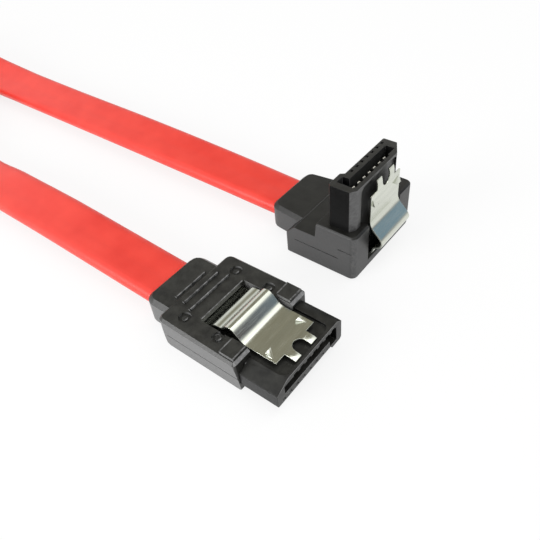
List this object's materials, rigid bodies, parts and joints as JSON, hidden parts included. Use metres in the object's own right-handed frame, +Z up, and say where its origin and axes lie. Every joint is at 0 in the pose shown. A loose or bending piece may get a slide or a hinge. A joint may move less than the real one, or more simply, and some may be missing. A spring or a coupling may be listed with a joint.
{
  "type": "serial data cable",
  "caption": "Red flat ribbon data cable for a disk drive, with a straight plug on one end and a right-angle plug on the other, each with a sprung metal latch.",
  "frame": {"origin": "middle of the straight plug's flat underside", "axes": "+X is the way the straight plug goes in, +Z is up, the way the right-angle plug goes in, and +Y is from the straight plug towards the right-angle plug"},
  "size_m": [0.2342, 0.0691, 0.0142],
  "materials": {
    "overmould_plastic": "fine matt moulded black",
    "housing_plastic": "smooth moulded black",
    "ribbon_jacket": "satin red",
    "spring_steel": "bright stamped strip",
    "contact_alloy": "plated",
    "core_insulation": "smooth white",
    "drain_wire": "tinned",
    "tie_plastic": "smooth black"
  },
  "bodies": {
    "cable": {"straight_housing": "housing_plastic", "straight_overmould": "overmould_plastic", "straight_contact_1": "contact_alloy", "straight_contact_2": "contact_alloy", "straight_contact_3": "contact_alloy", "straight_contact_4": "contact_alloy", "straight_contact_5": "contact_alloy", "straight_contact_6": "contact_alloy", "straight_contact_7": "contact_alloy", "straight_drain_1": "drain_wire", "straight_core_1": "core_insulation", "straight_core_2": "core_insulation", "straight_drain_2": "drain_wire", "straight_core_3": "core_insulation", "straight_core_4": "core_insulation", "straight_drain_3": "drain_wire", "angled_housing": "housing_plastic", "angled_overmould": "overmould_plastic", "angled_contact_1": "contact_alloy", "angled_contact_2": "contact_alloy", "angled_contact_3": "contact_alloy", "angled_contact_4": "contact_alloy", "angled_contact_5": "contact_alloy", "angled_contact_6": "contact_alloy", "angled_contact_7": "contact_alloy", "angled_drain_1": "drain_wire", "angled_core_1": "core_insulation", "angled_core_2": "core_insulation", "angled_drain_2": "drain_wire", "angled_core_3": "core_insulation", "angled_core_4": "core_insulation", "angled_drain_3": "drain_wire", "ribbon": "ribbon_jacket", "tie": "tie_plastic"},
    "straight_latch": {"straight_latch": "spring_steel"},
    "angled_latch": {"angled_latch": "spring_steel"}
  },
  "joints": [
    {"name": "straight_latch_press", "type": "hinge", "parent": "cable", "child": "straight_latch", "pos_m": [-0.00055, 0, 0.00458], "axis": [0, 1, 0], "range_deg": [0, 1.6], "stiffness_Nm_per_rad": 0.5},
    {"name": "angled_latch_press", "type": "hinge", "parent": "cable", "child": "angled_latch", "pos_m": [0.00662, 0.0235, 0.00165], "axis": [0, -1, 0], "range_deg": [0, 2], "stiffness_Nm_per_rad": 0.5}
  ]
}
